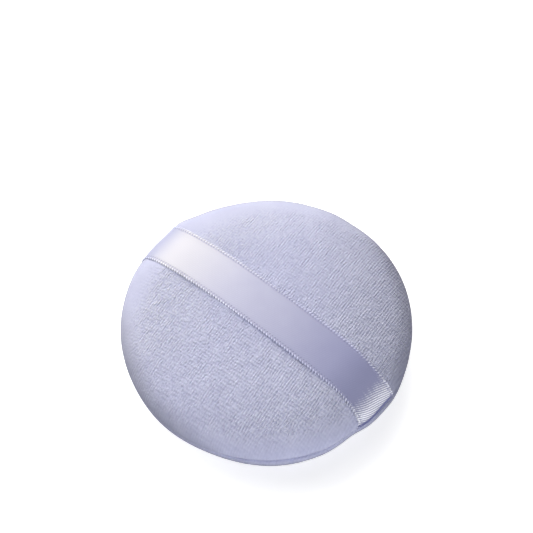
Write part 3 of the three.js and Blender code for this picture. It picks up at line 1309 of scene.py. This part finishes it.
@dataclass
class FingerRibbon:
    """The satin ribbon over the top, its tails in the seam and its looped selvedges.

    Attributes:
        form: Shape of the puff.
        lay: Where the ribbon lies on the crown.
        thickness: Thickness of the satin.
        clearance: Air between the satin and the cover under it.
        tail: Length of each end inside the seam, inward from the lips.
        flatness: Share by which it stays flat across, instead of hugging the crown.
        flat_by_climb: Share of that flatness.
        tail_rows: Rows of points along a tail, then roll_rows round a lip and crown_rows up.
        loop_pitch: Spacing of the selvedge loops.
        loop_ends: How far the loops stay from the seam.
        loop_inset: How far their line lies inside the edge, and loop_sink how far under.
        loop_half: Half sizes of a loop, along, across and up, and their spread as a share.
        loop_lean: Lean of the loops in degrees, and its spread.
        loop_seed: Seed of what is uneven about them.
        path: Points of the middle surface, of shape (rows, columns, 3).
        along: Length along the middle of the ribbon up to each row.
    """

    form: PuffForm
    lay: RibbonLay
    thickness: float = 0.2 * MM
    clearance: float = 0.06 * MM
    tail: float = 3.6 * MM
    flatness: float = 0.28
    flat_by_climb: Ease = Ease(0.04, 0.4)
    columns: int = 25
    tail_rows: int = 9
    roll_rows: int = 13
    crown_rows: int = 110
    loop_pitch: float = 0.675 * MM
    loop_ends: float = 0.4 * MM
    loop_inset: float = 0.19 * MM
    loop_sink: float = 0.03 * MM
    loop_half: tuple = (0.37 * MM, 0.19 * MM, 0.2 * MM)
    loop_spread: float = 0.07
    loop_lean: tuple[float, float] = (36, 6)
    loop_sides: int = 10
    loop_rings: int = 6
    loop_seed: int = 50
    path: Array = field(init=False, repr=False)
    along: Array = field(init=False, repr=False)

    def __post_init__(self) -> None:
        """Lays the ribbon's middle surface and measures it."""
        self.across = np.linspace(-self.lay.width / 2, self.lay.width / 2, self.columns)
        halves = [np.stack([self.strip(end, y) for y in self.across], 1) for end in End]
        left, right = (self.flattened(half) for half in halves)
        self.path = np.concatenate([left, right[::-1][1:]])
        self.along = lengths_along(self.path[:, self.columns // 2])

    def strip(self, end: End, beside: float) -> Array:
        """One strip of the middle surface, from a tail's end up to the top of the crown.

        Args:
            end: Which end.
            beside: Place across the ribbon.

        Returns:
            Points of shape (rows, 3), in the frame.
        """
        form, lay = self.form, self.lay
        lift = self.clearance + self.thickness / 2
        tail = np.linspace(form.lip_radius - self.tail, form.lip_radius, self.tail_rows + 1)[:-1]
        turns = np.linspace(-math.pi / 2, 0, self.roll_rows + 1)[:-1]
        on_top = abs(beside) < TINY
        climb = np.linspace(0, 1, self.crown_rows)
        climb = climb * (1.0 if on_top else form.climb_at_radius(abs(beside), lift))
        x = end.value * form.radius * np.cos(climb * math.pi / 2)
        middle = lay.middle(climb, x)
        across = middle + beside * lay.breadth(climb, x)
        reach = np.sqrt(np.maximum(form.crown(climb)[0] ** 2 - across**2, 0))
        swell = form.swell(Side.TOP, np.arctan2(across, end.value * reach))
        press = lay.press(climb, x, middle)
        stand = lift - press + swell * form.swell_by_climb.at(climb)
        radius, height = form.crown(climb, stand)
        seated = Ease(form.allowance_edge, form.lip_radius).at(tail) * swell[0]
        roll = form.lip + lift
        rolled = form.lip_radius + roll * np.cos(turns) + (swell[0] - press[0] * np.cos(turns))
        out = np.concatenate([tail + seated, rolled, radius])
        up = np.concatenate([0 * tail, form.lip_height + roll * np.sin(turns), height])
        y = np.concatenate([np.full(len(tail) + len(turns), across[0]), across])
        out = np.sqrt(np.maximum(out * out - y * y, 0))
        return np.stack([end.value * out, y, form.seam_height + up], -1)

    def flattened(self, grid: Array) -> Array:
        """Draws each row of a half towards the level of its middle, up from the rim.

        Args:
            grid: Points of shape (rows, columns, 3).

        Returns:
            The points after that.
        """
        share = self.flat_by_climb.at(np.linspace(0, 1, self.crown_rows)) * self.flatness
        share = np.concatenate([np.zeros(self.tail_rows + self.roll_rows), share])
        flat = grid.copy()
        flat[..., ::2] = grid[:, self.columns // 2, None, ::2]
        return grid + share[:, None, None] * (flat - grid)

    def normals(self) -> Array:
        """The upward direction at each point of the middle surface."""
        normal = np.cross(np.gradient(self.path, axis=0), np.gradient(self.path, axis=1))
        return normal / np.linalg.norm(normal, axis=-1)[..., None]

    def build(self, name: str, material: Material) -> Piece:
        """Makes the satin as one closed, thin body, with its own lay of threads.

        Args:
            name: Name of the piece.
            material: Its satin.

        Returns:
            The ribbon.
        """
        step = self.normals() * self.thickness / 2
        ring = np.concatenate([self.path + step, (self.path - step)[:, ::-1]], 1)
        maker = MeshMaker()
        first = maker.grid(ring[:, ::-1])
        columns = ring.shape[1]
        for row, order in ((0, 1), (len(ring) - 1, -1)):
            start = first + row * columns
            last = start + columns - 1
            for i in range(self.columns - 1):
                face = (start + i, start + i + 1, last - i - 1, last - i)
                maker.faces.append(face[::order])
        piece = maker.build(name, material)
        along = lengths_along(self.path)
        along *= self.along[-1] / along[-1]
        along = np.concatenate([along, along[:, ::-1]], 1)[:, ::-1]
        across = np.concatenate([self.across, self.across[::-1]])[::-1]
        lay = np.stack(np.broadcast_arrays(across[None, :], along), -1).reshape(-1, 2)
        index = np.zeros(len(piece.data.loops), int)
        piece.data.loops.foreach_get("vertex_index", index)
        layer = piece.data.uv_layers.new(name="lay")
        layer.uv.foreach_set("vector", lay[index].astype(np.float32).ravel())
        return piece

    def selvedge(self, name: str, edge: Edge, material: Material) -> Piece:
        """Makes the row of weft loops along one edge.

        Args:
            name: Name of the piece.
            edge: Which edge.
            material: Its yarn.

        Returns:
            The row of loops.
        """
        column = 0 if edge is Edge.NEAR else self.columns - 1
        normal = self.normals()[:, column]
        line = self.path[:, column] - np.array([0, edge.value * self.loop_inset, 0])
        length = lengths_along(line)
        length *= self.along[-1] / length[-1]
        begin = self.tail + self.loop_ends
        count = int((length[-1] - 2 * begin) / self.loop_pitch)
        source = np.random.default_rng(self.loop_seed + edge.value)
        rise = np.linspace(-math.pi / 2, math.pi / 2, self.loop_rings + 2)[1:-1]
        rise, turn = rings(rise, self.loop_sides)
        round_bead = [np.sin(rise), np.cos(rise) * np.cos(turn), np.cos(rise) * np.sin(turn)]
        ball = np.stack(round_bead, -1)
        maker = MeshMaker()
        for spot in begin + self.loop_pitch * (np.arange(count) + 0.5):
            centre = points_at(spot, length, line)
            up = points_at(spot, length, normal)
            up /= np.linalg.norm(up)
            ahead = points_at(spot + self.thickness / 2, length, line) - centre
            ahead /= np.linalg.norm(ahead)
            side = np.cross(up, ahead)
            lean = self.loop_lean[0] + source.normal() * self.loop_lean[1]
            lean = edge.value * math.radians(lean)
            long = math.cos(lean) * side + math.sin(lean) * ahead
            short = math.cos(lean) * ahead - math.sin(lean) * side
            half = np.array(self.loop_half) * (1 + self.loop_spread * source.normal(size=3))
            centre = centre - up * self.loop_sink
            bead = (ball * half) @ np.stack([long, short, up]) + centre
            maker.shell(bead, centre - half[0] * long, centre + half[0] * long)
        return maker.build(name, material)


@dataclass
class SeamThread:
    """One thread of the rim seam, laid through its holes and twisted from two plies.

    A stop is a place along the seam in stitches, a step outward and a height over its plane.

    Attributes:
        form: Shape of the puff.
        inset: How far the seam lies inside the lips' circle.
        gap: Length of the turning gap, which the closing stitches cross.
        tail_share: Length of a loose end in stitches.
        bend: Length cut off each bend, in diameters, and most_bend its most as a share.
        cut: Share cut off each step when the bends are rounded, as often as roundings says.
        spacing: Spacing of the rings of points.
        twist: Length in which the plies go once round, and ply_depth the dent between them.
    """

    form: PuffForm
    diameter: float = 0.2 * MM
    clearance: float = 0.1 * MM
    pitch: float = 3.5 * MM
    inset: float = 0.8 * MM
    gap: float = 25 * MM
    tail_share: float = 0.3
    bend: float = 0.55
    most_bend: float = 0.45
    cut: float = 0.25
    roundings: int = 2
    spacing: float = 0.13 * MM
    twist: float = 0.9 * MM
    ply_depth: float = 0.14
    sides: int = 8

    def __post_init__(self) -> None:
        """Works out where the stitches are."""
        self.radius = self.form.lip_radius - self.inset
        self.count = 2 * round(math.pi * self.radius / self.pitch)
        self.turn = TURN / self.count
        self.closing = round(self.gap / (self.turn * self.radius))
        self.first = round(self.count / 4 + self.closing / 2)
        self.high = self.form.seam_gap / 2 + self.form.cloth + self.clearance + self.diameter / 2
        self.step = (self.diameter + self.clearance) / math.sqrt(2)

    def lock_stops(self, side: Side) -> Stops:
        """Stops of one thread of the lockstitch.

        Args:
            side: The needle thread on top, or the bobbin thread at the bottom.

        Returns:
            The stops in order.
        """
        step, high = side.value * self.step, side.value * self.high
        beside = self.step / (self.turn * self.radius)
        bight = -side.value * (self.diameter + self.clearance) / 2
        stops = [(self.first - self.tail_share, 0.0, high)]
        last = self.first + self.count - self.closing - 1
        for stitch in range(self.first, last + 1):
            here, back = stitch - beside, stitch + beside
            stops += [(here, step, high), (here, step, bight)]
            stops += [(back, -step, bight), (back, -step, high)]
        return [*stops, (last + self.tail_share, 0.0, high)]

    def closing_stops(self) -> Stops:
        """Stops of the running stitch that closes the turning gap.

        Returns:
            The stops in order.
        """
        first = self.first - self.closing
        stops = [(first - self.tail_share, 0.0, self.high)]
        high = self.high
        for stitch in range(first, self.first):
            stops += [(stitch, 0.0, high), (stitch, 0.0, -high)]
            high = -high
        return [*stops, (self.first - 1 + self.tail_share, 0.0, high)]

    def route(self, stops: Stops) -> Array:
        """A smooth route through stops, with each bend cut off short and evenly stepped.

        Args:
            stops: The stops in order.

        Returns:
            Points of shape (n, 3), in the frame.
        """
        along, outward, height = np.array(stops).T
        angle, radius = along * self.turn, self.radius + outward
        level = self.form.seam_height + height
        places = np.stack([radius * np.cos(angle), radius * np.sin(angle), level], -1)
        points = [places[0]]
        for before, place, after in zip(places, places[1:], places[2:]):
            for towards in (before, after):
                way = towards - place
                size = np.linalg.norm(way)
                reach = min(self.diameter * self.bend, self.most_bend * size)
                points.append(place + way / size * reach)
        line = np.array([*points, places[-1]])
        for _ in range(self.roundings):
            step = self.cut * (line[1:] - line[:-1])
            cut = np.stack([line[:-1] + step, line[1:] - step], 1).reshape(-1, 3)
            line = np.concatenate([line[:1], cut, line[-1:]])
        length = lengths_along(line)
        even = np.linspace(0, length[-1], int(length[-1] / self.spacing))
        return points_at(even, length, line)

    def build(self, name: str, stops: Stops, material: Material) -> Piece:
        """Makes the thread along its stops.

        Args:
            name: Name of the piece.
            stops: The stops in order.
            material: Its thread.

        Returns:
            The thread.
        """
        line = self.route(stops)
        ahead = np.gradient(line, axis=0)
        ahead /= np.linalg.norm(ahead, axis=1)[:, None]
        side = np.cross(ahead[0], [0, 0, 1.0])
        angles = np.arange(self.sides) * TURN / self.sides
        shell = []
        for place, way, length in zip(line, ahead, lengths_along(line)):
            side = side - way * (side @ way)
            side /= np.linalg.norm(side)
            over = np.cross(way, side)
            dent = self.ply_depth * (1 - np.cos(2 * (angles - TURN * length / self.twist)))
            reach = self.diameter / 2 * (1 - dent)
            across = np.stack([reach * np.cos(angles), reach * np.sin(angles)], -1)
            shell.append(place + across @ np.stack([side, over]))
        maker = MeshMaker()
        maker.shell(np.array(shell), line[0], line[-1])
        return maker.build(name, material)


@dataclass(frozen=True)
class Lamp:
    """One soft lamp, aimed at the puff.

    Attributes:
        name: Name of the lamp.
        azimuth: Angle round the puff, in degrees from +X.
        elevation: Angle above the table, in degrees.
        power: Its power in watts.
        tint: Its colour.
        width: Width of its face.
        height: Height of its face.
        distance: From the middle of the puff.
    """

    name: str
    azimuth: float
    elevation: float
    power: float
    tint: tuple[float, float, float]
    width: float = 0.7
    height: float = 0.7
    distance: float = 1.0

    def build(self, aim: Vector) -> None:
        """Adds the lamp to the scene.

        Args:
            aim: The place that it faces.
        """
        light = bpy.data.lights.new(self.name, "AREA")
        light.shape = "RECTANGLE"
        light.size, light.size_y = self.width, self.height
        light.energy = self.power
        light.color = self.tint
        stand(self.name, light, aim, direction(self.azimuth, self.elevation) * self.distance)


def stand(name: str, data: bpy.types.ID, aim: Vector, away: Vector, roll: float = 0.0) -> Piece:
    """Stands a lamp or camera so that it faces a place.

    Args:
        name: Name of its object.
        data: The lamp or camera.
        aim: The place that it faces.
        away: The way from there to where it stands.
        roll: Its turn about its own axis, in degrees.

    Returns:
        Its object, linked to the scene.
    """
    made = bpy.data.objects.new(name, data)
    made.location = aim + away
    made.rotation_mode = "QUATERNION"
    facing = (-away).to_track_quat("-Z", "Y").to_matrix()
    facing = facing @ Matrix.Rotation(math.radians(roll), 3, "Z")
    made.rotation_quaternion = facing.to_quaternion()
    bpy.context.scene.collection.objects.link(made)
    return made


@dataclass
class Studio:
    """The white table, the lamps, the white surroundings and the camera."""

    form: PuffForm
    lamps: tuple[Lamp, ...] = (
        Lamp("back", 137, 8, 11.5, (1.0, 0.98, 0.92), width=1.0),
        Lamp("front", 330, 8, 7.4, (0.93, 0.95, 1.0)),
        Lamp("right", 0, 8, 2.8, (0.93, 0.95, 1.0)),
        Lamp("left", 193, 25, 5.1, (0.98, 0.98, 0.96)),
        Lamp("key", 150, 45, 5.3, (1.0, 0.98, 0.93)),
        Lamp("top", 155, 65, 2.6, (1.0, 0.98, 0.95)),
    )
    camera_azimuth: float = -49.75
    camera_elevation: float = 62.1
    camera_distance: float = 0.30
    lens: float = 98.1
    sensor: float = 36
    clip: tuple[float, float] = (0.01, 20)
    shift: tuple[float, float] = (0.0004, 0.1136)
    roll: float = -0.55
    table_reach: float = 6.0
    table_colour: tuple = (0.86, 0.86, 0.87, 1)
    table_roughness: float = 0.9
    table_glow: Ease = Ease(0.2, 0.6, 0.66, 1.0)

    def build_table(self) -> None:
        """Lays the white table, which keeps the puff's shadow."""
        sheet = Surface("table")
        white = sheet.ease(sheet.vector("LENGTH", sheet.place), self.table_glow)
        finish = {"Base Color": self.table_colour, "Roughness": self.table_roughness}
        finish |= {"Emission Color": WHITE, "Emission Strength": sheet.seen() * white}
        side = np.array([-self.table_reach, self.table_reach])
        x, y = np.meshgrid(side, side)
        maker = MeshMaker()
        maker.grid(np.stack([x, y, 0 * x], -1), closed=False)
        maker.build("table", sheet.dress(finish))

    def build_room(self) -> None:
        """Makes what the camera and gloss see of the room white; it lights nothing."""
        world = bpy.data.worlds.new("room")
        bpy.context.scene.world = world
        world.use_nodes = True
        world.node_tree.nodes.clear()
        sheet = NodeSheet(world.node_tree)
        inputs = {"Color": WHITE, "Strength": sheet.seen()}
        back = sheet.take("ShaderNodeBackground", 0, inputs)
        sheet.node("ShaderNodeOutputWorld", {"Surface": back})

    def build(self) -> None:
        """Sets up the whole studio, with the camera at the photograph's viewing angle."""
        self.build_table()
        self.build_room()
        aim = Vector((0, 0, self.form.seam_height))
        for lamp in self.lamps:
            lamp.build(aim)
        lens = bpy.data.cameras.new("camera")
        lens.lens = self.lens
        lens.sensor_width = self.sensor
        lens.shift_x, lens.shift_y = self.shift
        lens.clip_start, lens.clip_end = self.clip
        away = direction(self.camera_azimuth, self.camera_elevation) * self.camera_distance
        bpy.context.scene.camera = stand("camera", lens, aim, away, self.roll)
        bpy.context.scene.view_settings.view_transform = "Standard"


def seat(piece: Piece, slot: str, *stands_for: str) -> Piece:
    """Makes a piece ride on the puff.

    Args:
        piece: The piece.
        slot: Name of a material slot; it is not used.
        *stands_for: The solids that it replaces.

    Returns:
        The piece.
    """
    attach(piece, BODY)
    if stands_for:
        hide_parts(*stands_for)
    return piece


def main() -> None:
    """Builds the studio, then the puff's pieces in order."""
    logging.basicConfig(level=logging.INFO, format="%(name)s: %(message)s")
    form = PuffForm()
    lay = RibbonLay()
    Studio(form).build()

    velour = VelourFinish().material()
    thread = ThreadFinish().material()
    # The selvedge yarn is painted white as highlight, with painted shade in the middle and at the
    # far end.
    yarn = ThreadFinish(
        name="selvedge",
        light=colour(240, 241, 252),
        dark=colour(206, 208, 234),
        gloss=0.5,
        middle_shade_share=0.9,
        far_shade_share=1.0,
    ).material()

    core = seat(FoamCore(form).build("foam_disc", FoamFinish().material()), "foam", "foam_core")
    for side in Side:
        name = side.name.lower()
        cover = VelourCover(form, side, lay).build(f"{name}_velour", velour)
        seat(cover, "velour", f"{name}_cover")

    ribbon = FingerRibbon(form, lay)
    length = float(ribbon.along[-1])
    satin = SatinFinish(length).material()
    strap = seat(ribbon.build("satin_ribbon", satin), "satin", "ribbon_strap")
    [
            seat(ribbon.selvedge(f"selvedge_{edge.name.lower()}", edge, yarn), "satin")
            for edge in Edge
        ]
    LOG.info("ribbon length %.2f mm", length / MM)

    sewing = SeamThread(form)
    for name, stops in (
        ("needle", sewing.lock_stops(Side.TOP)),
        ("bobbin", sewing.lock_stops(Side.BOTTOM)),
        ("closing", sewing.closing_stops()),
    ):
        seat(sewing.build(f"{name}_yarn", stops, thread), "thread", f"{name}_thread")


if __name__ == "__main__":
    main()
